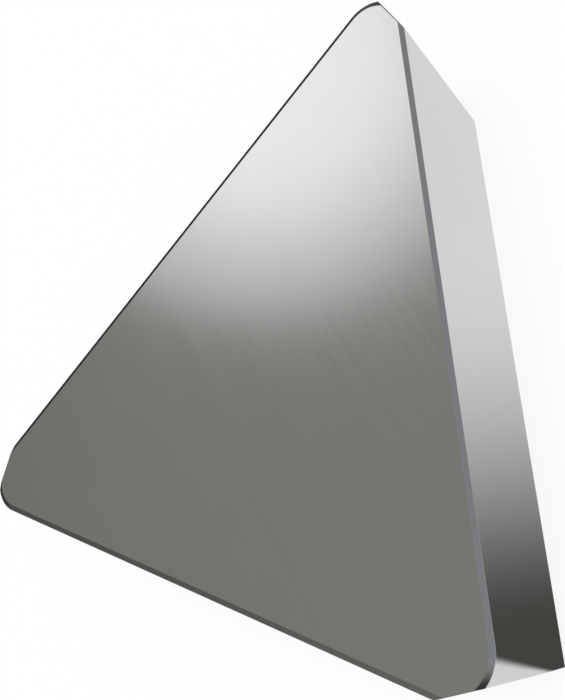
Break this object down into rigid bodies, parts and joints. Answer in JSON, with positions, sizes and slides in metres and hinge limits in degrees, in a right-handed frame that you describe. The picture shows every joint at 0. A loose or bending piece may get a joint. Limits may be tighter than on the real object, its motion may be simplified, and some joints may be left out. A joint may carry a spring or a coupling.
{
  "type": "carbide insert",
  "caption": "Triangular carbide milling insert, right hand, without a hole: flanks with relief, round noses, a negative land and a wiper edge at each corner.",
  "frame": {"origin": "centre of the inscribed circle, on the seating face", "axes": "+Z out of the rake face, +Y towards one nose, +X across it so that the wiper edge is on the +X side of that nose"},
  "size_m": [0.02, 0.0178, 0.0048],
  "materials": {
    "carbide": "uncoated cemented carbide, fine ground, satin grey"
  },
  "bodies": {
    "root": {"insert": "carbide"}
  },
  "joints": []
}
